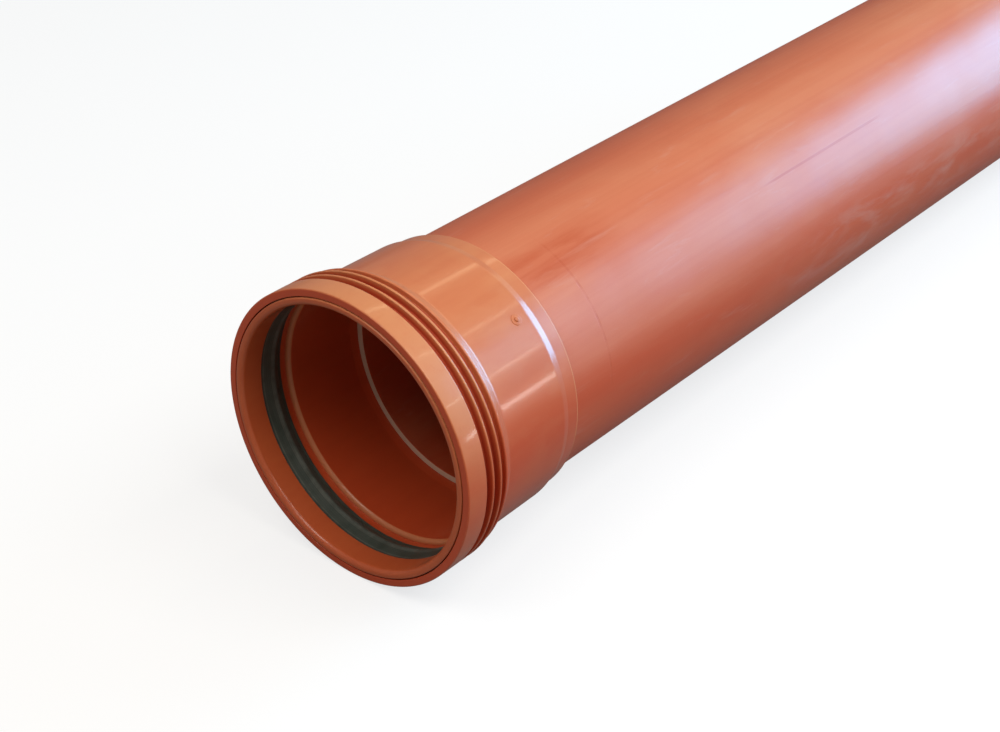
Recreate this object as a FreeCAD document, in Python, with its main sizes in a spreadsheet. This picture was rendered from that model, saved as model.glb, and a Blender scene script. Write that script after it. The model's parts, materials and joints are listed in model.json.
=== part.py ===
import FreeCAD, Part
import Sketcher
import os

# A push-fit plastic sewer pipe: an extruded tube, a moulded socket joined to one end of it,
# and in the socket's mouth a retaining ring with a rubber seal behind it.
# Millimetres. Each piece is drawn along its own X axis, from the socket's front face (x = 0)
# towards the spigot, and turned about that axis. Its Placement then lays it on the floor:
# +Z is up, the origin is on the floor below the middle of the length, and the pipe rests on
# the socket's rearmost rib and on the spigot.

doc = FreeCAD.newDocument("SewerPipe")
sheet = doc.addObject("Spreadsheet::Sheet", "Sizes")

SIZES = [
    # the tube
    ("tube_radius", 100.0, "outside of the extruded tube"),
    ("tube_wall", 5.9, "wall of the tube"),
    ("laying_length", 1000.0, "tube's cut end in the socket to the spigot's end"),
    ("bevel_length", 9.0, "bevel on the spigot, along the axis"),
    ("bevel_angle", 15.0, "bevel on the spigot, degrees to the axis"),
    ("seat_depth", 0.6, "the tube is turned down by this inside the neck"),
    # the socket along its axis
    ("collar_length", 18.75, "plain collar behind the front face"),
    ("groove_width", 5.95, "each groove between the ribs"),
    ("rib_width", 2.0, "each rib between two grooves"),
    ("crown_width", 1.8, "flat top of the shoulder behind the last groove"),
    ("crown_run", 8.3, "slope from that top to the socket's plain wall"),
    ("bore_start", 46.6, "front of the plain bore, behind the seal's chamber"),
    ("bore_length", 64.9, "plain bore that the next spigot enters"),
    ("stop_run", 5.5, "cone that narrows the plain bore to the neck's"),
    ("stop_recess", 1.3, "from that cone to the tube's cut end"),
    ("neck_overlap", 12.7, "length of tube inside the neck"),
    ("heel_lead", 4.5, "the outside starts to narrow this far ahead of the neck's bore"),
    ("heel_run", 6.5, "outside slope from the plain wall to the neck"),
    # the socket across its axis
    ("seal_room", 5.5, "next spigot to the wall of the seal's chamber"),
    ("chamber_wall", 3.5, "seal's chamber to the groove floor"),
    ("groove_depth", 5.5, "groove floor to the outside of the ribs and the collar"),
    ("seat_step", 3.2, "the mouth is wider than the chamber by this, on the radius"),
    ("crown_drop", 1.7, "the shoulder's top is this much lower than the ribs"),
    ("bore_clearance", 1.0, "plain bore around the next spigot, on the radius"),
    ("plain_wall", 6.4, "wall of the socket's plain part at its front"),
    ("plain_draft", 0.7, "how much that part narrows to its back"),
    ("neck_wall", 5.3, "wall of the neck at its front"),
    ("neck_draft", 0.6, "how much the neck narrows to its end"),
    # the retaining ring
    ("ring_gap", 0.8, "open line between the ring and the collar"),
    ("ring_lip", 0.5, "how far the ring stands out of the front face"),
    ("flange_width", 5.0, "front face to the seat of the ring's flange"),
    ("ring_length", 19.1, "front face to the ring's rear face"),
    ("ring_clearance", 1.8, "ring around the next spigot, on the radius"),
    ("sleeve_gap", 0.6, "ring's sleeve to the chamber around it"),
    # the seal
    ("seal_width", 21.7, "seal along the axis"),
    ("seal_gap", 0.1, "seal to the chamber around it"),
    ("seal_front_wall", 2.9, "seal's thickness at the retaining ring"),
    ("seal_front_flat", 2.6, "straight part ahead of the lip's slope"),
    ("lip_place", 11.4, "seal's front face to the lip"),
    ("lip_width", 1.2, "edge of the lip along the axis"),
    ("lip_clearance", 0.6, "lip around the next spigot, on the radius"),
    ("seal_rear_wall", 1.2, "seal's thickness at its back"),
    ("seal_rear_flat", 2.6, "straight part behind the lip's slope"),
    # roundings
    ("collar_round", 1.1, "front outer edge of the collar"),
    ("rib_round", 0.8, "tops of the ribs"),
    ("crown_round", 2.4, "shoulder's top towards the plain wall"),
    ("crown_foot_round", 6.0, "foot of the shoulder"),
    ("heel_round", 7.0, "plain wall into the heel's slope"),
    ("heel_foot_round", 4.0, "heel's slope into the neck"),
    ("bore_round", 3.3, "front edge of the plain bore"),
    ("mouth_round", 0.5, "inner edge of the collar's front face"),
    ("entry_round", 3.7, "entry of the retaining ring"),
    ("ring_round", 1.2, "outer front edge of the retaining ring"),
    ("lip_round", 0.5, "both edges of the seal's lip"),
    # the moulding's gate mark
    ("gate_place", 101.0, "front face to the gate mark"),
    ("gate_angle", 42.0, "gate mark from the top, degrees towards -Y"),
    ("gate_radius", 3.2, "disc of the gate mark"),
    ("gate_height", 0.4, "disc above the socket's wall"),
    ("nub_radius", 1.1, "nub on the disc"),
    ("nub_height", 1.0, "nub above the socket's wall"),
]

for row, (word, number, note) in enumerate(SIZES, start=1):
    sheet.set("A%d" % row, word)
    sheet.set("B%d" % row, str(number))
    sheet.set("C%d" % row, note)
    sheet.setAlias("B%d" % row, word)
doc.recompute()

# Places and radii that more than one piece uses, each made from the sizes above.
BEVEL_START = "(Sizes.bore_start + Sizes.bore_length + Sizes.stop_run + Sizes.stop_recess"
BEVEL_START += " + Sizes.laying_length - Sizes.bevel_length)"
PITCH = "(Sizes.groove_width + Sizes.rib_width)"
LAST_RIB = "(Sizes.collar_length + 2 * " + PITCH + " - Sizes.rib_width / 2)"
LAST_GROOVE = "(Sizes.collar_length + 2 * " + PITCH + ")"
CROWN_START = "(" + LAST_GROOVE + " + Sizes.groove_width)"
CHAMBER_RADIUS = "(Sizes.tube_radius + Sizes.seal_room)"
GROOVE_FLOOR = "(" + CHAMBER_RADIUS + " + Sizes.chamber_wall)"
COLLAR_RADIUS = "(" + GROOVE_FLOOR + " + Sizes.groove_depth)"
MOUTH_RADIUS = "(" + CHAMBER_RADIUS + " + Sizes.seat_step)"
BORE_RADIUS = "(Sizes.tube_radius + Sizes.bore_clearance)"
BORE_END = "(Sizes.bore_start + Sizes.bore_length)"
STOP_END = "(" + BORE_END + " + Sizes.stop_run)"
TUBE_START = "(" + STOP_END + " + Sizes.stop_recess)"
TUBE_END = "(" + TUBE_START + " + Sizes.laying_length)"
NECK_END = "(" + TUBE_START + " + Sizes.neck_overlap)"
SEAT_RADIUS = "(Sizes.tube_radius - Sizes.seat_depth)"
PLAIN_RADIUS = "(" + BORE_RADIUS + " + Sizes.plain_wall)"
NECK_RADIUS = "(" + SEAT_RADIUS + " + Sizes.neck_wall)"

# Lying down, the pipe leans from the socket to the spigot. It touches the floor with the
# spigot's edge and with whichever of the collar and the last rib stands out further.
RISE = "(" + COLLAR_RADIUS + " - Sizes.tube_radius)"
LEAN = "atan(max(" + RISE + " / (" + BEVEL_START + " - Sizes.collar_length), "
LEAN += RISE + " / (" + BEVEL_START + " - " + LAST_RIB + ")))"


def value(text):
    """The number that an expression gives with the present sizes."""
    found = sheet.evalExpression(text)
    return float(getattr(found, "Value", found))


def origin_plane(body, role):
    return [item for item in body.Origin.OriginFeatures if item.Role == role][0]


def new_body(label):
    body = doc.addObject("PartDesign::Body", label + "_body")
    body.Label = label
    return body


def outline(body, name, corners):
    """A closed outline in the XZ plane. Each corner is a place on the axis and a radius."""
    sketch = body.newObject("Sketcher::SketchObject", name)
    sketch.AttachmentSupport = [(origin_plane(body, "XZ_Plane"), "")]
    sketch.MapMode = "FlatFace"
    join_corners(sketch, corners)
    return sketch


def join_corners(sketch, corners):
    spots = [FreeCAD.Vector(value(along), value(radius), 0) for along, radius in corners]
    count = len(spots)
    for index in range(count):
        after = (index + 1) % count
        sketch.addGeometry(Part.LineSegment(spots[index], spots[after]), False)
    for index in range(count):
        after = (index + 1) % count
        sketch.addConstraint(Sketcher.Constraint("Coincident", index, 2, after, 1))
    for index, (along, radius) in enumerate(corners):
        spot = spots[index]
        for kind, size, text in (("DistanceX", spot.x, along), ("DistanceY", spot.y, radius)):
            number = sketch.addConstraint(Sketcher.Constraint(kind, -1, 1, index, 1, size))
            sketch.setExpression("Constraints[%d]" % number, text)


def turn(body, name, corners, cut=False):
    """Turn an outline about the axis, to add material or to cut it away."""
    sketch = outline(body, name + "_outline", corners)
    doc.recompute()
    before = body.Shape.Volume if cut else 0.0
    kind = "PartDesign::Groove" if cut else "PartDesign::Revolution"
    feature = body.newObject(kind, name)
    feature.Profile = sketch
    feature.ReferenceAxis = (sketch, ["H_Axis"])
    feature.Angle = 360.0
    doc.recompute()
    if cut and not body.Shape.Volume < before:
        raise RuntimeError(name + " cuts nothing")
    return feature


def edges_at(feature, places):
    """Names of the full circles at the given places and radii."""
    names = []
    for along, radius in places:
        found = []
        for number, edge in enumerate(feature.Shape.Edges, start=1):
            curve = edge.Curve
            if curve.TypeId != "Part::GeomCircle":
                continue
            if abs(curve.Center.x - value(along)) < 0.001 and abs(curve.Radius - value(radius)) < 0.001:
                found.append("Edge%d" % number)
        if len(found) != 1:
            raise RuntimeError("no single edge at %s, %s" % (along, radius))
        names += found
    return names


def round_edges(body, name, places, size):
    """Round circular edges, which are found by place and radius on the present shape."""
    base = body.Tip
    feature = body.newObject("PartDesign::Fillet", name)
    feature.Base = (base, edges_at(base, places))
    feature.setExpression("Radius", size)
    doc.recompute()
    return feature


def lay_down(body):
    """Lean the piece's axis and lift it so that the pipe rests on the floor."""
    body.Placement = FreeCAD.Placement(
        FreeCAD.Vector(0, 0, 0), FreeCAD.Rotation(FreeCAD.Vector(0, 1, 0), 1.0))
    body.setExpression("Placement.Rotation.Angle", LEAN)
    body.setExpression("Placement.Base.x", "-" + TUBE_END + " / 2 * cos(" + LEAN + ")")
    lift = BEVEL_START + " * sin(" + LEAN + ") + Sizes.tube_radius * cos(" + LEAN + ")"
    body.setExpression("Placement.Base.z", lift)


def make_pipe():
    """The extruded tube: turned down where the neck holds it, bevelled at the spigot."""
    body = new_body("pipe")
    inside = "(Sizes.tube_radius - Sizes.tube_wall)"
    tip = "(Sizes.tube_radius - Sizes.bevel_length * tan(Sizes.bevel_angle * 1 deg))"
    turn(body, "tube", [
        (TUBE_START, inside),
        (TUBE_END, inside),
        (TUBE_END, "Sizes.tube_radius"),
        (TUBE_START, "Sizes.tube_radius"),
    ])
    over = "(Sizes.tube_radius + 1)"
    turn(body, "neck_seat", [
        ("(" + TUBE_START + " - 1)", SEAT_RADIUS),
        (NECK_END, SEAT_RADIUS),
        (NECK_END, over),
        ("(" + TUBE_START + " - 1)", over),
    ], cut=True)
    turn(body, "spigot_bevel", [
        (BEVEL_START, "Sizes.tube_radius"),
        (TUBE_END, tip),
        (TUBE_END, over),
        (BEVEL_START, over),
    ], cut=True)
    return body


def make_socket():
    """The moulded socket: collar, ribs, plain wall, heel and the neck joined to the tube."""
    body = new_body("socket")
    crown = "(" + COLLAR_RADIUS + " - Sizes.crown_drop)"
    step = "(" + LAST_GROOVE + " + Sizes.groove_width / 2)"
    crown_back = "(" + CROWN_START + " + Sizes.crown_width)"
    crown_foot = "(" + crown_back + " + Sizes.crown_run)"
    heel_start = "(" + STOP_END + " - Sizes.heel_lead)"
    heel_end = "(" + heel_start + " + Sizes.heel_run)"
    plain_back = "(" + PLAIN_RADIUS + " - Sizes.plain_draft)"
    turn(body, "socket_wall", [
        ("0", MOUTH_RADIUS),
        ("0", COLLAR_RADIUS),
        (step, COLLAR_RADIUS),
        (step, crown),
        (crown_back, crown),
        (crown_foot, PLAIN_RADIUS),
        (heel_start, plain_back),
        (heel_end, NECK_RADIUS),
        (NECK_END, "(" + NECK_RADIUS + " - Sizes.neck_draft)"),
        (NECK_END, SEAT_RADIUS),
        (STOP_END, SEAT_RADIUS),
        (BORE_END, BORE_RADIUS),
        ("Sizes.bore_start", BORE_RADIUS),
        ("Sizes.bore_start", CHAMBER_RADIUS),
        ("Sizes.flange_width", CHAMBER_RADIUS),
        ("Sizes.flange_width", MOUTH_RADIUS),
    ])
    over = "(" + COLLAR_RADIUS + " + 1)"
    first = turn(body, "first_groove", [
        ("Sizes.collar_length", GROOVE_FLOOR),
        ("(Sizes.collar_length + Sizes.groove_width)", GROOVE_FLOOR),
        ("(Sizes.collar_length + Sizes.groove_width)", over),
        ("Sizes.collar_length", over),
    ], cut=True)
    repeat = body.newObject("PartDesign::LinearPattern", "grooves")
    repeat.Originals = [first]
    repeat.Direction = (origin_axis(body), [""])
    repeat.Occurrences = 3
    repeat.Mode = "Spacing"
    repeat.setExpression("Offset", PITCH)
    body.Tip = repeat
    doc.recompute()
    ribs = [("Sizes.collar_length", COLLAR_RADIUS)]
    for count in range(2):
        front = "(Sizes.collar_length + Sizes.groove_width + %d * %s)" % (count, PITCH)
        ribs.append((front, COLLAR_RADIUS))
        ribs.append(("(" + front + " + Sizes.rib_width)", COLLAR_RADIUS))
    ribs.append((CROWN_START, crown))
    round_edges(body, "rib_tops", ribs, "Sizes.rib_round")
    round_edges(body, "collar_edge", [("0", COLLAR_RADIUS)], "Sizes.collar_round")
    round_edges(body, "mouth_edge", [("0", MOUTH_RADIUS)], "Sizes.mouth_round")
    round_edges(body, "crown_top", [(crown_back, crown)], "Sizes.crown_round")
    round_edges(body, "crown_foot", [(crown_foot, PLAIN_RADIUS)], "Sizes.crown_foot_round")
    round_edges(body, "heel", [(heel_start, plain_back)], "Sizes.heel_round")
    round_edges(body, "heel_foot", [(heel_end, NECK_RADIUS)], "Sizes.heel_foot_round")
    round_edges(body, "bore_edge", [("Sizes.bore_start", BORE_RADIUS)], "Sizes.bore_round")
    add_gate_mark(body)
    return body


def origin_axis(body):
    return [item for item in body.Origin.OriginFeatures if item.Role == "X_Axis"][0]


def add_gate_mark(body):
    """A low disc with a nub, square to the socket's wall, turned about its own radial line."""
    sketch = body.newObject("Sketcher::SketchObject", "gate_outline")
    sketch.AttachmentSupport = [(origin_plane(body, "XZ_Plane"), "")]
    sketch.MapMode = "FlatFace"
    sketch.AttachmentOffset = FreeCAD.Placement(
        FreeCAD.Vector(0, 0, 0), FreeCAD.Rotation(FreeCAD.Vector(1, 0, 0), 1.0))
    sketch.setExpression("AttachmentOffset.Base.x", "Sizes.gate_place")
    sketch.setExpression("AttachmentOffset.Rotation.Angle", "Sizes.gate_angle")
    wall = "(" + PLAIN_RADIUS + " - Sizes.plain_draft)"
    root = "(" + wall + " - Sizes.plain_wall / 3)"
    join_corners(sketch, [
        ("0", root),
        ("Sizes.gate_radius", root),
        ("Sizes.gate_radius", "(" + wall + " + Sizes.gate_height)"),
        ("Sizes.nub_radius", "(" + wall + " + Sizes.gate_height)"),
        ("Sizes.nub_radius", "(" + wall + " + Sizes.nub_height)"),
        ("0", "(" + wall + " + Sizes.nub_height)"),
    ])
    doc.recompute()
    mark = body.newObject("PartDesign::Revolution", "gate_mark")
    mark.Profile = sketch
    mark.ReferenceAxis = (sketch, ["V_Axis"])
    mark.Angle = 360.0
    doc.recompute()
    return mark


def make_retaining_ring():
    """The ring that holds the seal: a flange in the mouth and a sleeve reaching to the seal."""
    body = new_body("retaining_ring")
    inside = "(Sizes.tube_radius + Sizes.ring_clearance)"
    flange = "(" + MOUTH_RADIUS + " - Sizes.ring_gap)"
    sleeve = "(" + CHAMBER_RADIUS + " - Sizes.sleeve_gap)"
    front = "(0 - Sizes.ring_lip)"
    turn(body, "ring_section", [
        (front, inside),
        (front, flange),
        ("Sizes.flange_width", flange),
        ("Sizes.flange_width", sleeve),
        ("Sizes.ring_length", sleeve),
        ("Sizes.ring_length", inside),
    ])
    round_edges(body, "ring_edge", [(front, flange)], "Sizes.ring_round")
    round_edges(body, "ring_entry", [(front, inside)], "Sizes.entry_round")
    return body


def make_seal_ring():
    """The rubber seal: behind the retaining ring, its lip modelled pressed back."""
    body = new_body("seal_ring")
    outside = "(" + CHAMBER_RADIUS + " - Sizes.seal_gap)"
    front_inside = "(" + outside + " - Sizes.seal_front_wall)"
    rear_inside = "(" + outside + " - Sizes.seal_rear_wall)"
    lip = "(Sizes.tube_radius + Sizes.lip_clearance)"
    start = "Sizes.ring_length"
    lip_front = "(" + start + " + Sizes.lip_place)"
    lip_back = "(" + lip_front + " + Sizes.lip_width)"
    end = "(" + start + " + Sizes.seal_width)"
    turn(body, "seal_section", [
        (start, front_inside),
        (start, outside),
        (end, outside),
        (end, rear_inside),
        ("(" + end + " - Sizes.seal_rear_flat)", rear_inside),
        (lip_back, lip),
        (lip_front, lip),
        ("(" + start + " + Sizes.seal_front_flat)", front_inside),
    ])
    round_edges(body, "lip_edges", [(lip_front, lip), (lip_back, lip)], "Sizes.lip_round")
    return body


def check_document():
    """Stop if anything in the document failed to compute."""
    for item in doc.Objects:
        if "Invalid" in item.State or "Error" in item.State:
            raise RuntimeError("%s failed: %s" % (item.Label, item.State))


pieces = [make_pipe(), make_socket(), make_retaining_ring(), make_seal_ring()]
for piece in pieces:
    lay_down(piece)
doc.recompute()
check_document()
for piece in pieces:
    if piece.Shape.isNull() or not piece.Shape.isValid() or len(piece.Shape.Solids) != 1:
        raise RuntimeError(piece.Label + " is not one valid solid")

os.makedirs("parts", exist_ok=True)
for piece in pieces:
    piece.Shape.exportStep(os.path.join("parts", piece.Label + ".step"))
    box = piece.Shape.BoundBox
    print("%-15s x %9.3f %9.3f  y %9.3f %9.3f  z %9.3f %9.3f  volume %11.1f" % (
        piece.Label, box.XMin, box.XMax, box.YMin, box.YMax, box.ZMin, box.ZMax,
        piece.Shape.Volume))
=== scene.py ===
import bpy
import json
import math
from mathutils import Matrix, Vector


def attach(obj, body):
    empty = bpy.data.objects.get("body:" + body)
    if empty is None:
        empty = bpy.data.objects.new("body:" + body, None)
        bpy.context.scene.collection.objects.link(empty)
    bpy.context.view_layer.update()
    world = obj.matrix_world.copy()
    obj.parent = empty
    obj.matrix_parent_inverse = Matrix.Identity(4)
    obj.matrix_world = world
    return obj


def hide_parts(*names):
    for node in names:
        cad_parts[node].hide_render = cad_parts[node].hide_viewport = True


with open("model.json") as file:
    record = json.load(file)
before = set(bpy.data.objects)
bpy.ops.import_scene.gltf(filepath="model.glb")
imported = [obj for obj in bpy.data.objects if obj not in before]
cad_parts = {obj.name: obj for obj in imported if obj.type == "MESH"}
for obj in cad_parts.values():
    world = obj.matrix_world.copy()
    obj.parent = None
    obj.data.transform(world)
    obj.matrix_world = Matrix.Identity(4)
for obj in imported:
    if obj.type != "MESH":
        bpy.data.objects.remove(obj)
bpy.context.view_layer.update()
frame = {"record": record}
mounts = {m["name"]: m for m in frame["record"]["mounts"]}
mm = 0.001

# The pipe's own frame: its axis runs from the socket's front face to the spigot.
axisDir = Vector(mounts["spigot"]["axis"]).normalized()
sideDir = Vector((0.0, 1.0, 0.0))
upDir = axisDir.cross(sideDir)
boreLength = mounts["pipe_bore"]["dims"]["length_mm"] * mm
tubeRadius = mounts["spigot"]["dims"]["r_mm"] * mm
tubeInside = mounts["pipe_bore"]["dims"]["r_mm"] * mm
tubeStart = 118.3 * mm  # socket's front face to the tube's cut end
tubeEnd = tubeStart + boreLength
frontFace = Vector(mounts["pipe_bore"]["pos_m"]) - axisDir * (tubeStart + boreLength / 2)
lieDown = Matrix((
    (axisDir.x, sideDir.x, upDir.x, frontFace.x),
    (axisDir.y, sideDir.y, upDir.y, frontFace.y),
    (axisDir.z, sideDir.z, upDir.z, frontFace.z),
    (0.0, 0.0, 0.0, 1.0)))
lean = math.atan2(-axisDir.z, axisDir.x)


def inScene(x, y, z):
    return lieDown @ Vector((x, y, z))


# camera

view = {
    "lens": 68.36,
    "place": (-0.7774, -0.7882, 0.7302),
    "towards": (0.65695, 0.54693, -0.51892),
    "right": (0.63982, -0.76853, 0.0),
}


def makeCamera():
    data = bpy.data.cameras.new("viewCamera")
    data.lens = view["lens"]
    data.sensor_width = 36.0
    data.clip_start, data.clip_end = 0.05, 50.0
    camera = bpy.data.objects.new("viewCamera", data)
    bpy.context.scene.collection.objects.link(camera)
    turn = lieDown.to_3x3()
    back = -(turn @ Vector(view["towards"])).normalized()
    right = (turn @ Vector(view["right"])).normalized()
    up = back.cross(right)
    right = up.cross(back)
    camera.matrix_world = Matrix((
        (right.x, up.x, back.x, 0.0),
        (right.y, up.y, back.y, 0.0),
        (right.z, up.z, back.z, 0.0),
        (0.0, 0.0, 0.0, 1.0)))
    camera.location = inScene(*view["place"])
    bpy.context.scene.camera = camera


makeCamera()
print("camera placed")


# node helpers

def addNode(tree, kind, **values):
    node = tree.nodes.new(kind)
    for key, value in values.items():
        setattr(node, key, value)
    return node


def fill(node, **values):
    for key, value in values.items():
        node.inputs[key.replace("_", " ")].default_value = value
    return node


def maths(tree, operation, first, second=None, third=None, clamp=False):
    node = addNode(tree, "ShaderNodeMath", operation=operation, use_clamp=clamp)
    for index, item in enumerate((first, second, third)):
        if item is None:
            continue
        if isinstance(item, (int, float)):
            node.inputs[index].default_value = item
        else:
            tree.links.new(item, node.inputs[index])
    return node.outputs[0]


def times(tree, first, second):
    return maths(tree, "MULTIPLY", first, second)


# A mask from 0 to 1 becomes a value from least to most.
def between(tree, mask, least, most):
    return maths(tree, "MULTIPLY_ADD", mask, most - least, least)


def ramp(tree, value, low, high, flip=False):
    node = addNode(tree, "ShaderNodeMapRange", interpolation_type="SMOOTHSTEP")
    tree.links.new(value, node.inputs["Value"])
    node.inputs["From Min"].default_value = low
    node.inputs["From Max"].default_value = high
    node.inputs["To Min"].default_value = 1.0 if flip else 0.0
    node.inputs["To Max"].default_value = 0.0 if flip else 1.0
    return node.outputs["Result"]


def mixColour(tree, amount, first, second):
    node = addNode(tree, "ShaderNodeMix", data_type="RGBA", blend_type="MIX")
    for index, item in ((0, amount), (6, first), (7, second)):
        if isinstance(item, (int, float)):
            node.inputs[index].default_value = item
        elif isinstance(item, tuple):
            node.inputs[index].default_value = (*item, 1.0)
        else:
            tree.links.new(item, node.inputs[index])
    return node.outputs[2]


def tinted(tree, colour, mask, weight, towards):
    return mixColour(tree, times(tree, mask, weight), colour, towards)


def newGroup(name, takes, gives):
    tree = bpy.data.node_groups.new(name, "ShaderNodeTree")
    for title, kind, value in takes:
        socket = tree.interface.new_socket(title, in_out="INPUT", socket_type=kind)
        if value is not None:
            socket.default_value = value
    for title, kind in gives:
        tree.interface.new_socket(title, in_out="OUTPUT", socket_type=kind)
    return tree, addNode(tree, "NodeGroupInput"), addNode(tree, "NodeGroupOutput")


# Where a point lies on the pipe: along the axis, out from it, and across the axis.
def makePlaceGroup():
    tree, into, out = newGroup("placeOnPipe", [("Vector", "NodeSocketVector", None)], [
        ("Vector", "NodeSocketVector"), ("Along", "NodeSocketFloat"), ("Radius", "NodeSocketFloat"),
        ("Side", "NodeSocketFloat"), ("Up", "NodeSocketFloat")])
    parts = addNode(tree, "ShaderNodeSeparateXYZ")
    tree.links.new(into.outputs["Vector"], parts.inputs[0])
    side, up = parts.outputs["Y"], parts.outputs["Z"]
    radius = maths(tree, "SQRT", maths(tree, "ADD", times(tree, side, side), times(tree, up, up)))
    tree.links.new(into.outputs["Vector"], out.inputs["Vector"])
    tree.links.new(parts.outputs["X"], out.inputs["Along"])
    tree.links.new(radius, out.inputs["Radius"])
    tree.links.new(side, out.inputs["Side"])
    tree.links.new(up, out.inputs["Up"])
    return tree


# Soft clouds of dust and handling, in patches stretched along the axis.
hazeTexture = {
    "detail": 6.0, "roughness": 0.62, "distortion": 0.4,
    "bareLevel": 0.72, "coverReach": 0.5, "contrast": 4.0,
}


def makeHazeGroup():
    tree, into, out = newGroup("dustHaze", [
        ("Vector", "NodeSocketVector", None), ("Patch Size", "NodeSocketFloat", 0.08),
        ("Stretch", "NodeSocketFloat", 3.0), ("Cover", "NodeSocketFloat", 0.5)], [
        ("Mask", "NodeSocketFloat")])
    squeeze = addNode(tree, "ShaderNodeCombineXYZ")
    tree.links.new(maths(tree, "DIVIDE", 1.0, into.outputs["Stretch"]), squeeze.inputs["X"])
    squeeze.inputs["Y"].default_value = 1.0
    squeeze.inputs["Z"].default_value = 1.0
    longer = addNode(tree, "ShaderNodeVectorMath", operation="MULTIPLY")
    tree.links.new(into.outputs["Vector"], longer.inputs[0])
    tree.links.new(squeeze.outputs[0], longer.inputs[1])
    scale = maths(tree, "DIVIDE", 1.0, into.outputs["Patch Size"])
    noise = addNode(tree, "ShaderNodeTexNoise")
    fill(noise, Detail=hazeTexture["detail"], Roughness=hazeTexture["roughness"],
         Distortion=hazeTexture["distortion"])
    tree.links.new(longer.outputs[0], noise.inputs["Vector"])
    tree.links.new(scale, noise.inputs["Scale"])
    lowered = times(tree, into.outputs["Cover"], hazeTexture["coverReach"])
    low = maths(tree, "SUBTRACT", hazeTexture["bareLevel"], lowered)
    spread = maths(tree, "SUBTRACT", noise.outputs["Fac"], low)
    mask = maths(tree, "MULTIPLY", spread, hazeTexture["contrast"], clamp=True)
    tree.links.new(mask, out.inputs["Mask"])
    return tree


# Fine lines along the axis, as the extruder's die draws them and as a moulding flows.
def makeDrawGroup():
    tree, into, out = newGroup("drawnLines", [
        ("Vector", "NodeSocketVector", None), ("Line Width", "NodeSocketFloat", 0.0015),
        ("Line Length", "NodeSocketFloat", 0.4)], [
        ("Height", "NodeSocketFloat"), ("Tone", "NodeSocketFloat")])
    squeeze = addNode(tree, "ShaderNodeCombineXYZ")
    tree.links.new(maths(tree, "DIVIDE", 1.0, into.outputs["Line Length"]), squeeze.inputs["X"])
    across = maths(tree, "DIVIDE", 1.0, into.outputs["Line Width"])
    tree.links.new(across, squeeze.inputs["Y"])
    tree.links.new(across, squeeze.inputs["Z"])
    pull = addNode(tree, "ShaderNodeVectorMath", operation="MULTIPLY")
    tree.links.new(into.outputs["Vector"], pull.inputs[0])
    tree.links.new(squeeze.outputs[0], pull.inputs[1])
    noise = addNode(tree, "ShaderNodeTexNoise")
    fill(noise, Scale=1.0, Detail=3.0, Roughness=0.55)
    tree.links.new(pull.outputs[0], noise.inputs["Vector"])
    tree.links.new(noise.outputs["Fac"], out.inputs["Height"])
    tree.links.new(ramp(tree, noise.outputs["Fac"], low=0.35, high=0.68), out.inputs["Tone"])
    return tree


# The slight unevenness of a moulded or drawn plastic skin.
def makeSkinGroup():
    tree, into, out = newGroup("plasticSkin", [
        ("Vector", "NodeSocketVector", None), ("Wave Size", "NodeSocketFloat", 0.02),
        ("Grain Size", "NodeSocketFloat", 0.0008), ("Grain Share", "NodeSocketFloat", 0.15)], [
        ("Height", "NodeSocketFloat")])
    wave = addNode(tree, "ShaderNodeTexNoise")
    fill(wave, Detail=1.0, Roughness=0.4)
    grain = addNode(tree, "ShaderNodeTexNoise")
    fill(grain, Detail=2.0, Roughness=0.5)
    for noise, size in ((wave, "Wave Size"), (grain, "Grain Size")):
        tree.links.new(into.outputs["Vector"], noise.inputs["Vector"])
        tree.links.new(maths(tree, "DIVIDE", 1.0, into.outputs[size]), noise.inputs["Scale"])
    small = times(tree, grain.outputs["Fac"], into.outputs["Grain Share"])
    tree.links.new(maths(tree, "ADD", wave.outputs["Fac"], small), out.inputs["Height"])
    return tree


placeGroup = makePlaceGroup()
hazeGroup = makeHazeGroup()
drawGroup = makeDrawGroup()
skinGroup = makeSkinGroup()


def useGroup(tree, group, links=None, **values):
    node = addNode(tree, "ShaderNodeGroup", node_tree=group)
    for key, value in values.items():
        node.inputs[key.replace("_", " ")].default_value = value
    for key, socket in (links or {}).items():
        tree.links.new(socket, node.inputs[key])
    return node


def startMaterial(name):
    material = bpy.data.materials.new(name)
    material.use_nodes = True
    tree = material.node_tree
    surface = next(n for n in tree.nodes if n.type == "BSDF_PRINCIPLED")
    coord = addNode(tree, "ShaderNodeTexCoord")
    turn = addNode(tree, "ShaderNodeMapping", vector_type="TEXTURE")
    turn.inputs["Location"].default_value = frontFace
    turn.inputs["Rotation"].default_value = (0.0, lean, 0.0)
    tree.links.new(coord.outputs["Object"], turn.inputs["Vector"])
    place = useGroup(tree, placeGroup, {"Vector": turn.outputs["Vector"]})
    return material, tree, surface, place


def bumpInto(tree, surface, height, distance):
    bump = addNode(tree, "ShaderNodeBump")
    bump.inputs["Strength"].default_value = 1.0
    bump.inputs["Distance"].default_value = distance
    tree.links.new(height, bump.inputs["Height"])
    tree.links.new(bump.outputs["Normal"], surface.inputs["Normal"])


def hazeMask(tree, vector, size, stretch, cover):
    node = useGroup(tree, hazeGroup, {"Vector": vector}, Patch_Size=size, Stretch=stretch, Cover=cover)
    return node.outputs["Mask"]


# How squarely a point faces one way across the axis, from -1 to 1. Angles go from +Y over the top.
def facing(tree, place, degrees):
    angle = math.radians(degrees)
    across = maths(tree, "ADD", times(tree, place.outputs["Side"], math.cos(angle)),
                   times(tree, place.outputs["Up"], math.sin(angle)))
    return maths(tree, "DIVIDE", across, place.outputs["Radius"])


def angleMask(tree, place, degrees, halfWidth, soft):
    inner = math.cos(math.radians(halfWidth))
    outer = math.cos(math.radians(halfWidth + soft))
    return ramp(tree, facing(tree, place, degrees), outer, inner)


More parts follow.
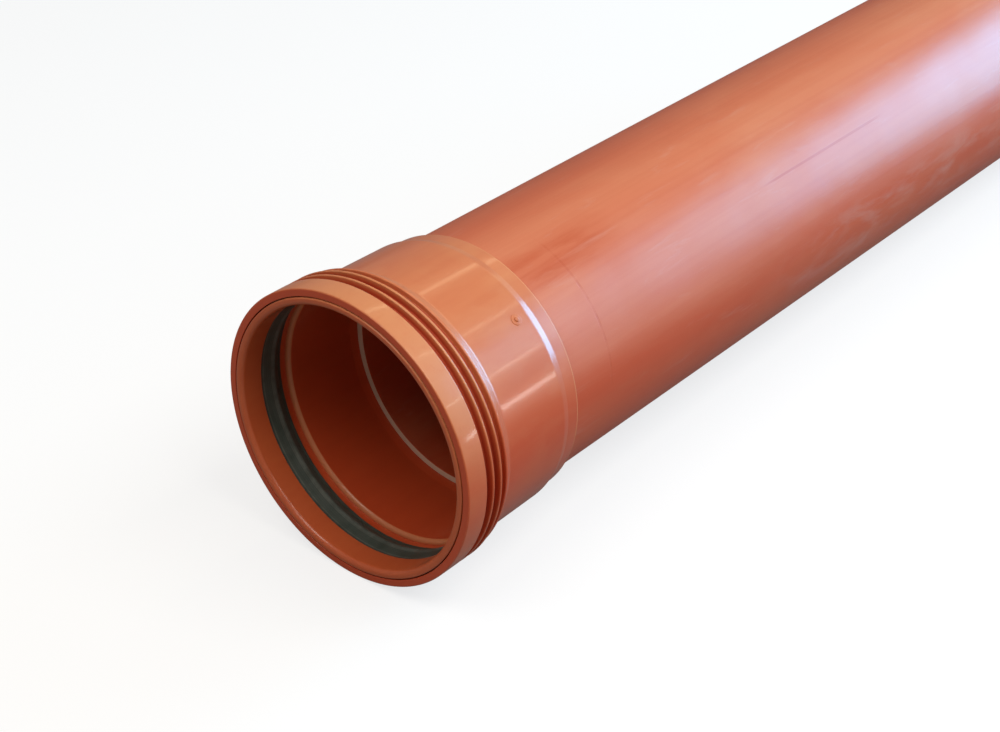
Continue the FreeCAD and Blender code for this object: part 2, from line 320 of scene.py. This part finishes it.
def bandMask(tree, value, low, high, soft):
    rise = ramp(tree, value, low - soft, low)
    fall = ramp(tree, value, high, high + soft, flip=True)
    return times(tree, rise, fall)


# Dust lies on what faces up, a little towards -Y, and thins out towards the sides; the same mask paints the
# top paler where the light falls on it, as a painted sheen.
dustAndSheenLie = {"angle": 110, "thinsOut": 0.36, "full": 0.98}


def topDustAndSheen(tree, place):
    return ramp(tree, facing(tree, place, dustAndSheenLie["angle"]), dustAndSheenLie["thinsOut"], dustAndSheenLie["full"])


# Colours, then how strongly each kind of mark shows, from 0 to 1.
tubeLook = {
    "clay": (0.52, 0.072, 0.023),
    "pale": (0.59, 0.215, 0.105),
    "deep": (0.46, 0.075, 0.024),
    "core": (0.68, 0.48, 0.35),
    "scuffAndReflection": (0.56, 0.40, 0.36),
    "dustAndSheenOnTop": 0.50, "dustInPatches": 0.26, "lines": 0.16, "cleaner": 0.30,
    "wiped": 0.75, "handled": 0.40, "rubbed": 0.22, "paintedReflectionLow": 0.36, "marks": 0.8,
    "roughness": 0.37, "hazeRough": 0.06, "wipedSmooth": 0.06, "coreRough": 0.75,
    "ior": 1.53, "specular": 0.45,
    "relief": 0.0006, "lineRelief": 0.15, "markRelief": 0.12,
    "skinDepth": 0.45 * mm, "skinSoft": 0.7, "coreOnBevel": 0.65,
    "sawCut": (0.1 * mm, 0.4 * mm), "bevelCut": (9.2 * mm, 8.8 * mm),
}


def makeTubeMaterial():
    look = tubeLook
    material, tree, surface, place = startMaterial("tubePlastic")
    vector, along, radius = (place.outputs[k] for k in ("Vector", "Along", "Radius"))
    haze = hazeMask(tree, vector, size=0.06, stretch=4.0, cover=0.62)
    lines = useGroup(tree, drawGroup, {"Vector": vector}, Line_Width=0.004, Line_Length=0.9)
    # dust in patches, plus a painted sheen: the top-facing share of this mix paints the lit top paler
    dust = maths(tree, "ADD", times(tree, topDustAndSheen(tree, place), look["dustAndSheenOnTop"]),
                 times(tree, haze, look["dustInPatches"]))
    colour = mixColour(tree, dust, look["clay"], look["pale"])
    colour = tinted(tree, colour, lines.outputs["Tone"], look["lines"], look["deep"])
    cleaner = hazeMask(tree, vector, size=0.11, stretch=2.2, cover=0.42)
    colour = tinted(tree, colour, cleaner, look["cleaner"], look["deep"])
    # a patch wiped clean near the socket, with ragged ends
    ragged = hazeMask(tree, vector, size=0.007, stretch=9.0, cover=0.62)
    wiped = times(tree, angleMask(tree, place, degrees=117, halfWidth=4, soft=9),
                  bandMask(tree, along, low=0.145, high=0.20, soft=0.06))
    wiped = times(tree, wiped, between(tree, ragged, least=0.3, most=1.0))
    colour = tinted(tree, colour, wiped, look["wiped"], look["deep"])
    # the +Y shoulder beside the socket is handled cleaner
    handled = times(tree, angleMask(tree, place, degrees=68, halfWidth=8, soft=16),
                    bandMask(tree, along, low=0.12, high=0.30, soft=0.14))
    colour = tinted(tree, colour, handled, look["handled"], look["deep"])
    # pale rubbed marks here and there, and a pale painted reflection low on the -Y side of the far half
    rub = hazeMask(tree, vector, size=0.009, stretch=7.0, cover=0.26)
    # painted reflection: a pale patch low on the -Y side of the far half
    lowPaintedReflection = hazeMask(tree, vector, size=0.030, stretch=3.0, cover=0.50)
    lowReflectionZone = times(tree, angleMask(tree, place, degrees=185, halfWidth=7, soft=13),
                    bandMask(tree, along, low=0.52, high=0.70, soft=0.16))
    lowPaintedReflection = times(tree, lowPaintedReflection, lowReflectionZone)
    # the rub marks together with the painted reflection, both mixed towards the scuff colour
    rubbed = maths(tree, "MAXIMUM", times(tree, rub, look["rubbed"]), times(tree, lowPaintedReflection, look["paintedReflectionLow"]))
    colour = mixColour(tree, rubbed, colour, look["scuffAndReflection"])
    # one long scratch and one ring mark, both through the dust
    scratch = times(tree, angleMask(tree, place, degrees=138, halfWidth=0.25, soft=0.55),
                    bandMask(tree, along, low=0.43, high=0.57, soft=0.03))
    scratch = times(tree, scratch, ramp(tree, lines.outputs["Height"], low=0.40, high=0.55))
    ringMark = times(tree, angleMask(tree, place, degrees=142, halfWidth=30, soft=10),
                     bandMask(tree, along, low=0.1758, high=0.1772, soft=0.0008))
    ringMark = times(tree, ringMark, between(tree, ragged, least=0.15, most=0.75))
    marks = maths(tree, "MAXIMUM", scratch, ringMark)
    colour = tinted(tree, colour, marks, look["marks"], look["deep"])
    # the grey core between the brown skins, bared by the saw and the bevel
    skin = look["skinDepth"]
    softSkin = skin * look["skinSoft"]
    inCore = times(tree, ramp(tree, radius, tubeInside + softSkin, tubeInside + skin),
                   ramp(tree, radius, tubeRadius - skin, tubeRadius - softSkin, flip=True))
    sawn = ramp(tree, along, tubeStart + look["sawCut"][0], tubeStart + look["sawCut"][1], flip=True)
    bevelled = ramp(tree, along, tubeEnd - look["bevelCut"][0], tubeEnd - look["bevelCut"][1])
    cut = maths(tree, "MAXIMUM", sawn, times(tree, bevelled, look["coreOnBevel"]))
    bared = times(tree, inCore, cut)
    colour = mixColour(tree, bared, colour, look["core"])
    tree.links.new(colour, surface.inputs["Base Color"])
    rough = maths(tree, "ADD", look["roughness"], times(tree, haze, look["hazeRough"]))
    rough = maths(tree, "SUBTRACT", rough, times(tree, wiped, look["wipedSmooth"]))
    rough = maths(tree, "MAXIMUM", rough, times(tree, bared, look["coreRough"]))
    tree.links.new(rough, surface.inputs["Roughness"])
    surface.inputs["IOR"].default_value = look["ior"]
    surface.inputs["Specular IOR Level"].default_value = look["specular"]
    skinWave = useGroup(tree, skinGroup, {"Vector": vector},
                        Wave_Size=0.05, Grain_Size=0.0009, Grain_Share=0.05)
    height = maths(tree, "ADD", skinWave.outputs["Height"],
                   times(tree, lines.outputs["Height"], look["lineRelief"]))
    height = maths(tree, "SUBTRACT", height, times(tree, marks, look["markRelief"]))
    bumpInto(tree, surface, height, look["relief"])
    return material


socketLook = {
    "clay": (0.52, 0.067, 0.019),
    "pale": (0.60, 0.246, 0.102),
    "deep": (0.40, 0.042, 0.012),
    "dustAndSheenOnTop": 0.55, "dustInPatches": 0.16, "flow": 0.14, "paintedGrooveShade": 0.9,
    "wear": 0.30, "wearInPatches": 0.30, "neckLipHighlight": 0.7, "boreMouthHighlight": 0.6,
    "edgeRadius": 114.5 * mm,
    "roughness": 0.30, "hazeRough": 0.09, "wornRough": 0.2, "grooveRough": 0.35,
    "ior": 1.50, "specular": 0.36, "relief": 0.0003,
    "polish": 0.36, "polishRoughness": 0.12, "polishIor": 1.45,
}
ringLook = dict(socketLook, clay=(0.50, 0.100, 0.032), dustAndSheenOnTop=0.25, paintedGrooveShade=0.0, wear=0.20,
                edgeRadius=107.9 * mm)


def makeMouldedMaterial(name, look):
    material, tree, surface, place = startMaterial(name)
    vector, along, radius = (place.outputs[k] for k in ("Vector", "Along", "Radius"))
    haze = hazeMask(tree, vector, size=0.035, stretch=1.6, cover=0.55)
    # dust and painted sheen on the outer wall alone, not inside or on the front face
    outer = times(tree, ramp(tree, radius, low=102.5 * mm, high=103.5 * mm),
                  ramp(tree, along, low=0.1 * mm, high=1.3 * mm))
    dustAndSheenTop = topDustAndSheen(tree, place)
    # dust in patches, plus a painted sheen: the top-facing share of this mix paints the lit top paler
    dust = maths(tree, "ADD", times(tree, dustAndSheenTop, look["dustAndSheenOnTop"]), times(tree, haze, look["dustInPatches"]))
    colour = mixColour(tree, times(tree, dust, outer), look["clay"], look["pale"])
    flow = useGroup(tree, drawGroup, {"Vector": vector}, Line_Width=0.012, Line_Length=0.10)
    colour = tinted(tree, colour, flow.outputs["Tone"], look["flow"], look["deep"])
    # handled edges turn pale at the outer rim, paler still on the lit top as a painted sheen; the bore's
    # mouth and the neck's lip carry painted highlights
    rim = ramp(tree, radius, low=look["edgeRadius"] - 1.2 * mm, high=look["edgeRadius"] - 0.2 * mm)
    patches = hazeMask(tree, vector, size=0.010, stretch=1.0, cover=0.95)
    rim = times(tree, rim, between(tree, patches, look["wear"], look["wear"] + look["wearInPatches"]))
    # painted sheen: the rim's pale wear grows towards the lit top
    rim = times(tree, rim, between(tree, dustAndSheenTop, least=0.25, most=1.0))
    # painted highlight along the rounded front edge of the bore, spread over the shaded face beside it
    boreMouthHighlight = times(tree, bandMask(tree, along, low=46.4 * mm, high=48.6 * mm, soft=0.9 * mm),
                      ramp(tree, radius, low=103.5 * mm, high=106.0 * mm, flip=True))
    # painted highlight along the neck's end edge
    neckLipHighlight = bandMask(tree, along, low=130.2 * mm, high=131.2 * mm, soft=0.5 * mm)
    inner = maths(tree, "MAXIMUM", times(tree, neckLipHighlight, look["neckLipHighlight"]),
                  times(tree, boreMouthHighlight, look["boreMouthHighlight"]))
    # the rim's wear together with the painted highlights of the bore's mouth and the neck's lip
    wearAndPaintedHighlights = maths(tree, "MAXIMUM", rim, inner)
    colour = mixColour(tree, wearAndPaintedHighlights, colour, look["pale"])
    # painted shade: the grooves are darkened towards the deep colour
    grooves = times(tree, bandMask(tree, along, low=19.2 * mm, high=40.2 * mm, soft=0.3 * mm),
                    ramp(tree, radius, low=110.2 * mm, high=113.8 * mm, flip=True))
    colour = tinted(tree, colour, grooves, look["paintedGrooveShade"], look["deep"])
    tree.links.new(colour, surface.inputs["Base Color"])
    rough = maths(tree, "ADD", look["roughness"], times(tree, haze, look["hazeRough"]))
    rough = maths(tree, "ADD", rough, times(tree, wearAndPaintedHighlights, look["wornRough"]))
    rough = maths(tree, "ADD", rough, times(tree, grooves, look["grooveRough"]))
    tree.links.new(rough, surface.inputs["Roughness"])
    surface.inputs["IOR"].default_value = look["ior"]
    surface.inputs["Specular IOR Level"].default_value = look["specular"]
    polish = times(tree, maths(tree, "SUBTRACT", 1.0, grooves), look["polish"])
    tree.links.new(polish, surface.inputs["Coat Weight"])
    surface.inputs["Coat Roughness"].default_value = look["polishRoughness"]
    surface.inputs["Coat IOR"].default_value = look["polishIor"]
    skinWave = useGroup(tree, skinGroup, {"Vector": vector},
                        Wave_Size=0.03, Grain_Size=0.0012, Grain_Share=0.02)
    bumpInto(tree, surface, skinWave.outputs["Height"], look["relief"])
    return material


rubberLook = {
    "dark": (0.036, 0.050, 0.040), "dusty": (0.105, 0.115, 0.095), "lip": (0.24, 0.25, 0.22),
    "dust": 0.22, "roughness": 0.40, "hazeRough": 0.18,
    "turningScale": 900.0, "turningRelief": 0.25, "relief": 0.0005,
}


def makeRubberMaterial():
    look = rubberLook
    material, tree, surface, place = startMaterial("sealRubber")
    vector, along, radius = (place.outputs[k] for k in ("Vector", "Along", "Radius"))
    haze = hazeMask(tree, vector, size=0.010, stretch=1.0, cover=0.7)
    colour = mixColour(tree, times(tree, haze, look["dust"]), look["dark"], look["dusty"])
    # painted highlight along the lip, with chalky bloom at the front edge
    lipHighlightAndBloom = maths(tree, "MAXIMUM", bandMask(tree, radius, low=100.4 * mm, high=101.0 * mm, soft=0.25 * mm),
                  bandMask(tree, along, low=21.2 * mm, high=21.9 * mm, soft=0.4 * mm))
    lipHighlightAndBloom = times(tree, lipHighlightAndBloom, between(tree, haze, least=0.12, most=0.27))
    colour = mixColour(tree, lipHighlightAndBloom, colour, look["lip"])
    tree.links.new(colour, surface.inputs["Base Color"])
    rough = maths(tree, "ADD", look["roughness"], times(tree, haze, look["hazeRough"]))
    tree.links.new(rough, surface.inputs["Roughness"])
    # faint rings round the seal, from its moulding tool
    turned = addNode(tree, "ShaderNodeTexNoise", noise_dimensions="1D")
    fill(turned, Scale=look["turningScale"], Detail=2.0)
    tree.links.new(along, turned.inputs["W"])
    skinWave = useGroup(tree, skinGroup, {"Vector": vector},
                        Wave_Size=0.015, Grain_Size=0.0006, Grain_Share=0.1)
    height = maths(tree, "ADD", skinWave.outputs["Height"],
                   times(tree, turned.outputs["Fac"], look["turningRelief"]))
    bumpInto(tree, surface, height, look["relief"])
    return material


tubeMaterial = makeTubeMaterial()
socketMaterial = makeMouldedMaterial("socketPlastic", socketLook)
ringMaterial = makeMouldedMaterial("ringPlastic", ringLook)
rubberMaterial = makeRubberMaterial()
print("materials made")


# A turned piece: a closed section carried round the axis by Geometry Nodes.

def makeLatheTree():
    tree = bpy.data.node_groups.new("turnedSection", "GeometryNodeTree")
    face = tree.interface
    face.new_socket("Geometry", in_out="INPUT", socket_type="NodeSocketGeometry")
    face.new_socket("Path Radius", in_out="INPUT", socket_type="NodeSocketFloat")
    face.new_socket("Segments", in_out="INPUT", socket_type="NodeSocketInt")
    face.new_socket("Material", in_out="INPUT", socket_type="NodeSocketMaterial")
    face.new_socket("Geometry", in_out="OUTPUT", socket_type="NodeSocketGeometry")
    link = tree.links.new
    into, out = addNode(tree, "NodeGroupInput"), addNode(tree, "NodeGroupOutput")
    section = addNode(tree, "GeometryNodeMeshToCurve")
    circle = addNode(tree, "GeometryNodeCurvePrimitiveCircle", mode="RADIUS")
    upright = addNode(tree, "GeometryNodeSetCurveNormal", mode="Z_UP")
    sweep = addNode(tree, "GeometryNodeCurveToMesh")
    link(into.outputs["Geometry"], section.inputs["Mesh"])
    link(into.outputs["Segments"], circle.inputs["Resolution"])
    link(into.outputs["Path Radius"], circle.inputs["Radius"])
    link(circle.outputs["Curve"], upright.inputs["Curve"])
    link(upright.outputs["Curve"], sweep.inputs["Curve"])
    link(section.outputs["Curve"], sweep.inputs["Profile Curve"])
    # stand the turning axis along X
    stand = addNode(tree, "GeometryNodeTransform")
    stand.inputs["Rotation"].default_value = (0.0, math.radians(90), 0.0)
    link(sweep.outputs["Mesh"], stand.inputs["Geometry"])
    real = addNode(tree, "GeometryNodeRealizeInstances")
    finish = addNode(tree, "GeometryNodeSetMaterial")
    link(stand.outputs["Geometry"], real.inputs["Geometry"])
    link(real.outputs["Geometry"], finish.inputs["Geometry"])
    link(into.outputs["Material"], finish.inputs["Material"])
    link(finish.outputs["Geometry"], out.inputs["Geometry"])
    return tree


latheTree = makeLatheTree()


# A section from corners of (along, radius, rounding), all in millimetres.
def roundedSection(corners, stepDegrees=9.0):
    points, count = [], len(corners)
    for index, (x, r, size) in enumerate(corners):
        here = Vector((x, r))
        before = Vector(corners[index - 1][:2]) - here
        after = Vector(corners[(index + 1) % count][:2]) - here
        if size <= 0:
            points.append(here)
            continue
        before.normalize()
        after.normalize()
        opening = before.angle(after)
        reach = size / math.tan(opening / 2)
        centre = here + (before + after).normalized() * (size / math.sin(opening / 2))
        start, end = here + before * reach - centre, here + after * reach - centre
        sweep = start.angle_signed(end)
        steps = max(2, math.ceil(abs(math.degrees(sweep)) / stepDegrees))
        for step in range(steps + 1):
            angle = -sweep * step / steps
            c, s = math.cos(angle), math.sin(angle)
            points.append(centre + Vector((start.x * c - start.y * s, start.x * s + start.y * c)))
    return points


def turnPiece(name, corners, segments, material):
    pathRadius = 100.0  # the circle that the section is carried round, in mm
    points = roundedSection(corners)
    count = len(points)
    area = sum(points[i - 1].x * points[i].y - points[i].x * points[i - 1].y for i in range(count))
    if area < 0:  # the section runs one way round, so that faces point outwards
        points.reverse()
    mesh = bpy.data.meshes.new(name + "Section")
    # the sweep takes a section's first value outwards and its second against the axis
    spots = [((p.y - pathRadius) * mm, -p.x * mm, 0.0) for p in points]
    mesh.from_pydata(spots, [(i, (i + 1) % count) for i in range(count)], [])
    piece = bpy.data.objects.new(name, mesh)
    bpy.context.scene.collection.objects.link(piece)
    modifier = piece.modifiers.new("turn", "NODES")
    modifier.node_group = latheTree
    values = {"Path Radius": pathRadius * mm, "Segments": segments, "Material": material}
    for item in latheTree.interface.items_tree:
        if item.in_out == "INPUT" and item.name in values:
            modifier[item.identifier] = values[item.name]
    piece.update_tag()
    bpy.context.view_layer.update()
    shape = bpy.data.meshes.new_from_object(piece.evaluated_get(bpy.context.evaluated_depsgraph_get()))
    piece.modifiers.clear()
    piece.data = shape
    return piece


def finishPiece(piece, node, sharpDegrees=32.0):
    piece.data.transform(lieDown)
    piece.data.polygons.foreach_set("use_smooth", [True] * len(piece.data.polygons))
    piece.data.set_sharp_from_angle(angle=math.radians(sharpDegrees))
    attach(piece, "root")
    if node:
        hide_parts(node)


# tube

tube = {
    "inside": 94.1, "outside": 100.0, "seat": 99.4,
    "start": 118.3, "neckEnd": 131.0, "end": 1118.3,
    "bevelLength": 9.0, "bevelAngle": 15.0,
    "sawnEdge": 0.25, "bevelEdge": 0.4, "segments": 360, "rings": 18,
}


def makeTube():
    t = tube
    tip = t["outside"] - t["bevelLength"] * math.tan(math.radians(t["bevelAngle"]))
    bevelStart = t["end"] - t["bevelLength"]
    corners = [(t["start"], t["inside"], t["sawnEdge"])]
    steps = t["rings"]
    span = t["end"] - t["start"]
    corners += [(t["start"] + span * i / steps, t["inside"], 0) for i in range(1, steps)]
    corners += [(t["end"], t["inside"], t["sawnEdge"]), (t["end"], tip, t["sawnEdge"]),
                (bevelStart, t["outside"], t["bevelEdge"])]
    span = bevelStart - t["neckEnd"]
    corners += [(bevelStart - span * i / steps, t["outside"], 0) for i in range(1, steps)]
    corners += [(t["neckEnd"], t["outside"], 0), (t["neckEnd"], t["seat"], 0),
                (t["start"], t["seat"], t["sawnEdge"])]
    return turnPiece("tube", corners, t["segments"], tubeMaterial)


# socket

socket = {
    "collarLength": 18.75, "grooveWidth": 5.95, "ribWidth": 2.0, "crownWidth": 1.8, "crownRun": 8.3,
    "collar": 114.5, "mouth": 108.7, "grooveFloor": 109.0, "chamber": 105.5, "crown": 112.8,
    "flangeSeat": 5.0, "boreStart": 46.6, "bore": 101.0, "boreEnd": 111.5, "stopEnd": 117.0,
    "neckBore": 99.4, "neckEnd": 131.0, "plainFront": 107.4, "plainBack": 106.7,
    "heelStart": 112.5, "heelEnd": 119.0, "neckFront": 104.7, "neckBack": 104.1,
    "grooves": 3, "segments": 384,
}
socketRounding = {
    "mouth": 0.5, "rim": 1.1, "ribTop": 0.8, "grooveFloor": 0.6, "crown": 2.4, "crownFoot": 6.0,
    "heelStart": 9.0, "heelEnd": 4.0, "neckEnd": 0.6, "stopEnd": 0.6, "boreEnd": 4.0, "boreStart": 3.3,
    "seat": 0.3,
}


def makeSocket():
    s = socket
    rounding = socketRounding
    pitch = s["grooveWidth"] + s["ribWidth"]
    corners = [(0.0, s["mouth"], rounding["mouth"]), (0.0, s["collar"], rounding["rim"])]
    for count in range(s["grooves"]):
        front = s["collarLength"] + count * pitch
        back = front + s["grooveWidth"]
        top = s["crown"] if count == s["grooves"] - 1 else s["collar"]
        corners += [(front, s["collar"], rounding["ribTop"]),
                    (front, s["grooveFloor"], rounding["grooveFloor"]),
                    (back, s["grooveFloor"], rounding["grooveFloor"]),
                    (back, top, rounding["ribTop"])]
    crownBack = back + s["crownWidth"]
    corners += [
        (crownBack, s["crown"], rounding["crown"]),
        (crownBack + s["crownRun"], s["plainFront"], rounding["crownFoot"]),
        (s["heelStart"], s["plainBack"], rounding["heelStart"]),
        (s["heelEnd"], s["neckFront"], rounding["heelEnd"]),
        (s["neckEnd"], s["neckBack"], rounding["neckEnd"]),
        (s["neckEnd"], s["neckBore"], 0),
        (s["stopEnd"], s["neckBore"], rounding["stopEnd"]),
        (s["boreEnd"], s["bore"], rounding["boreEnd"]),
        (s["boreStart"], s["bore"], rounding["boreStart"]),
        (s["boreStart"], s["chamber"], 0),
        (s["flangeSeat"], s["chamber"], rounding["seat"]),
        (s["flangeSeat"], s["mouth"], rounding["seat"]),
    ]
    return turnPiece("socketMoulding", corners, s["segments"], socketMaterial)


# retaining ring

ring = {
    "front": -0.5, "seat": 5.0, "rear": 19.1, "bore": 101.8, "flange": 107.9, "sleeve": 104.9,
    "mouthRounding": 3.7, "rimRounding": 1.2, "seatRounding": 0.2, "rearRounding": 0.3,
    "segments": 384,
}


def makeRing():
    r = ring
    corners = [
        (r["front"], r["bore"], r["mouthRounding"]),
        (r["front"], r["flange"], r["rimRounding"]),
        (r["seat"], r["flange"], r["seatRounding"]),
        (r["seat"], r["sleeve"], r["seatRounding"]),
        (r["rear"], r["sleeve"], r["rearRounding"]),
        (r["rear"], r["bore"], r["rearRounding"]),
    ]
    return turnPiece("lockRing", corners, r["segments"], ringMaterial)


# seal

seal = {
    "start": 19.1, "end": 40.8, "outside": 105.4, "frontInside": 102.5, "rearInside": 104.2,
    "frontFlat": 2.6, "rearFlat": 2.6, "lipFront": 30.5, "lipBack": 31.7, "lip": 100.6,
    "outsideRounding": 0.2, "rearRounding": 0.4, "rearFlatRounding": 1.0, "lipRounding": 0.5,
    "frontFlatRounding": 1.5, "frontRounding": 0.3, "segments": 384,
}


def makeSeal():
    s = seal
    corners = [
        (s["start"], s["outside"], s["outsideRounding"]),
        (s["end"], s["outside"], s["outsideRounding"]),
        (s["end"], s["rearInside"], s["rearRounding"]),
        (s["end"] - s["rearFlat"], s["rearInside"], s["rearFlatRounding"]),
        (s["lipBack"], s["lip"], s["lipRounding"]),
        (s["lipFront"], s["lip"], s["lipRounding"]),
        (s["start"] + s["frontFlat"], s["frontInside"], s["frontFlatRounding"]),
        (s["start"], s["frontInside"], s["frontRounding"]),
    ]
    return turnPiece("lipSeal", corners, s["segments"], rubberMaterial)


finishPiece(makeTube(), "pipe")
finishPiece(makeSocket(), "socket")
finishPiece(makeRing(), "retaining_ring")
finishPiece(makeSeal(), "seal_ring")
print("pieces turned")


# gate mark: the small disc and nub where the moulding was fed

gate = {
    "place": 101.0, "angle": 42.0, "root": 105.8, "disc": 4.4, "discTop": 107.2, "nub": 1.9, "nubTop": 108.1,
    "discRounding": 0.25, "footRounding": 0.1, "nubRounding": 0.75,
    "stepDegrees": 20.0, "segments": 48, "sharpDegrees": 40.0,
}


def makeGateMark():
    g = gate
    points = roundedSection([
        (0.0, g["root"], 0), (g["disc"], g["root"], 0),
        (g["disc"], g["discTop"], g["discRounding"]), (g["nub"], g["discTop"], g["footRounding"]),
        (g["nub"], g["nubTop"], g["nubRounding"]), (0.0, g["nubTop"], 0)], g["stepDegrees"])
    points = [p for p in points if p.x > 0.01]  # the two flat ends are single faces
    count, rings = g["segments"], len(points)
    verts = []
    for p in points:
        for step in range(count):
            a = 2 * math.pi * step / count
            verts.append((p.x * math.cos(a) * mm, p.x * math.sin(a) * mm, p.y * mm))
    faces = [(i * count + j, i * count + (j + 1) % count,
              (i + 1) * count + (j + 1) % count, (i + 1) * count + j)
             for i in range(rings - 1) for j in range(count)]
    faces.append(tuple(reversed(range(count))))
    faces.append(tuple((rings - 1) * count + j for j in range(count)))
    mesh = bpy.data.meshes.new("gateMark")
    mesh.from_pydata(verts, [], faces)
    mesh.materials.append(socketMaterial)
    turn = Matrix.Rotation(math.radians(g["angle"]), 4, "X")
    mesh.transform(Matrix.Translation((g["place"] * mm, 0, 0)) @ turn)
    piece = bpy.data.objects.new("gateMark", mesh)
    bpy.context.scene.collection.objects.link(piece)
    return piece


finishPiece(makeGateMark(), None, gate["sharpDegrees"])
print("gate mark added")


# floor, lights and world

studio = {
    "floorSize": 14.0, "floorSeen": (0.95, 0.95, 0.95), "floorBounce": (0.26, 0.24, 0.22),
    "floorLift": 0.74, "floorRoughness": 0.9, "floorSpecular": 0.1,
    "fadeStart": 0.6, "fadeEnd": 1.6,
    "worldColour": (1.0, 0.95, 0.90), "worldStrength": 0.28,
}


def makeFloor():
    half = studio["floorSize"] / 2
    mesh = bpy.data.meshes.new("studioFloor")
    verts = [(-half, -half, 0), (half, -half, 0), (half, half, 0), (-half, half, 0)]
    mesh.from_pydata(verts, [], [(0, 1, 2, 3)])
    floor = bpy.data.objects.new("studioFloor", mesh)
    bpy.context.scene.collection.objects.link(floor)
    material = bpy.data.materials.new("paleFloor")
    material.use_nodes = True
    tree = material.node_tree
    surface = next(n for n in tree.nodes if n.type == "BSDF_PRINCIPLED")
    surface.inputs["Roughness"].default_value = studio["floorRoughness"]
    surface.inputs["Specular IOR Level"].default_value = studio["floorSpecular"]
    out = next(n for n in tree.nodes if n.type == "OUTPUT_MATERIAL")
    glow = addNode(tree, "ShaderNodeEmission")
    seen = addNode(tree, "ShaderNodeLightPath")
    mix = addNode(tree, "ShaderNodeMixShader")
    tint = mixColour(tree, seen.outputs["Is Camera Ray"], studio["floorBounce"], studio["floorSeen"])
    tree.links.new(tint, surface.inputs["Base Color"])
    # far from the object the floor runs out into plain white, so that no horizon shows
    coord = addNode(tree, "ShaderNodeTexCoord")
    reach = addNode(tree, "ShaderNodeVectorMath", operation="LENGTH")
    tree.links.new(coord.outputs["Object"], reach.inputs[0])
    fade = ramp(tree, reach.outputs["Value"], studio["fadeStart"], studio["fadeEnd"])
    lift = maths(tree, "MAXIMUM", fade, studio["floorLift"])
    tree.links.new(times(tree, seen.outputs["Is Camera Ray"], lift), mix.inputs[0])
    tree.links.new(surface.outputs[0], mix.inputs[1])
    tree.links.new(glow.outputs[0], mix.inputs[2])
    tree.links.new(mix.outputs[0], out.inputs["Surface"])
    floor.data.materials.append(material)


def makeWorld():
    world = bpy.data.worlds.new("studioWorld")
    bpy.context.scene.world = world
    world.use_nodes = True
    tree = world.node_tree
    sky = next(n for n in tree.nodes if n.type == "BACKGROUND")
    sky.inputs["Color"].default_value = (*studio["worldColour"], 1.0)
    sky.inputs["Strength"].default_value = studio["worldStrength"]
    out = next(n for n in tree.nodes if n.type == "OUTPUT_WORLD")
    white = addNode(tree, "ShaderNodeBackground")
    white.inputs["Color"].default_value = (1.0, 1.0, 1.0, 1.0)
    seen = addNode(tree, "ShaderNodeLightPath")
    mix = addNode(tree, "ShaderNodeMixShader")
    tree.links.new(seen.outputs["Is Camera Ray"], mix.inputs[0])
    tree.links.new(sky.outputs[0], mix.inputs[1])
    tree.links.new(white.outputs[0], mix.inputs[2])
    tree.links.new(mix.outputs[0], out.inputs["Surface"])


# Each lamp: the way it lies from its aim in the pipe's frame, how far, its length along the
# pipe and width across it, its power and its colour. All of them aim at one point in the socket.
lampAim = (0.08, 0.0, 0.0)
lamps = [
    {"name": "mainPanel", "way": (0.10, -0.60, 0.88), "far": 2.6, "length": 2.0, "width": 1.4,
     "power": 45, "tint": (1.0, 0.95, 0.86)},
    {"name": "frontPanel", "way": (-0.50, 0.0, 0.86), "far": 2.5, "length": 1.2, "width": 1.2,
     "power": 21, "tint": (1.0, 0.95, 0.88)},
    {"name": "farWindow", "way": (0.935, -0.31, 0.185), "far": 3.2, "length": 1.45, "width": 1.6,
     "power": 105, "tint": (0.22, 0.62, 1.0)},
    {"name": "nearWindow", "way": (0.73, -0.54, 0.40), "far": 2.8, "length": 1.1, "width": 0.65,
     "power": 4.5, "tint": (0.30, 0.60, 1.0)},
    {"name": "warmSky", "way": (0.85, 0.10, 0.52), "far": 3.0, "length": 1.2, "width": 0.8,
     "power": 3.2, "tint": (1.0, 0.82, 0.50)},
    {"name": "lowStrip", "way": (0.657, -0.752, 0.0), "far": 2.4, "length": 0.50, "width": 0.09,
     "power": 3.0, "tint": (1.0, 0.96, 0.90)},
    {"name": "sideStrip", "way": (0.657, -0.675, 0.337), "far": 2.4, "length": 0.8, "width": 0.03,
     "power": 1.4, "tint": (1.0, 0.95, 0.75)},
    {"name": "highStrip", "way": (0.657, -0.326, 0.681), "far": 2.4, "length": 0.8, "width": 0.04,
     "power": 1.1, "tint": (1.0, 0.92, 0.60)},
    {"name": "topStrip", "way": (0.657, 0.288, 0.698), "far": 2.4, "length": 0.8, "width": 0.08,
     "power": 1.6, "tint": (1.0, 0.90, 0.55)},
]


def makeLamps():
    aim = inScene(*lampAim)
    turn = lieDown.to_3x3()
    for lamp in lamps:
        data = bpy.data.lights.new(lamp["name"], "AREA")
        data.shape = "RECTANGLE"
        data.size, data.size_y = lamp["length"], lamp["width"]
        data.energy = lamp["power"]
        data.color = lamp["tint"]
        light = bpy.data.objects.new(lamp["name"], data)
        bpy.context.scene.collection.objects.link(light)
        way = (turn @ Vector(lamp["way"])).normalized()
        lengthDir = (axisDir - way * axisDir.dot(way)).normalized()
        widthDir = way.cross(lengthDir)
        light.matrix_world = Matrix((
            (lengthDir.x, widthDir.x, way.x, 0.0),
            (lengthDir.y, widthDir.y, way.y, 0.0),
            (lengthDir.z, widthDir.z, way.z, 0.0),
            (0.0, 0.0, 0.0, 1.0)))
        light.location = aim + way * lamp["far"]


makeFloor()
makeWorld()
makeLamps()
bpy.context.scene.view_settings.view_transform = "Standard"
print("floor and lights set")
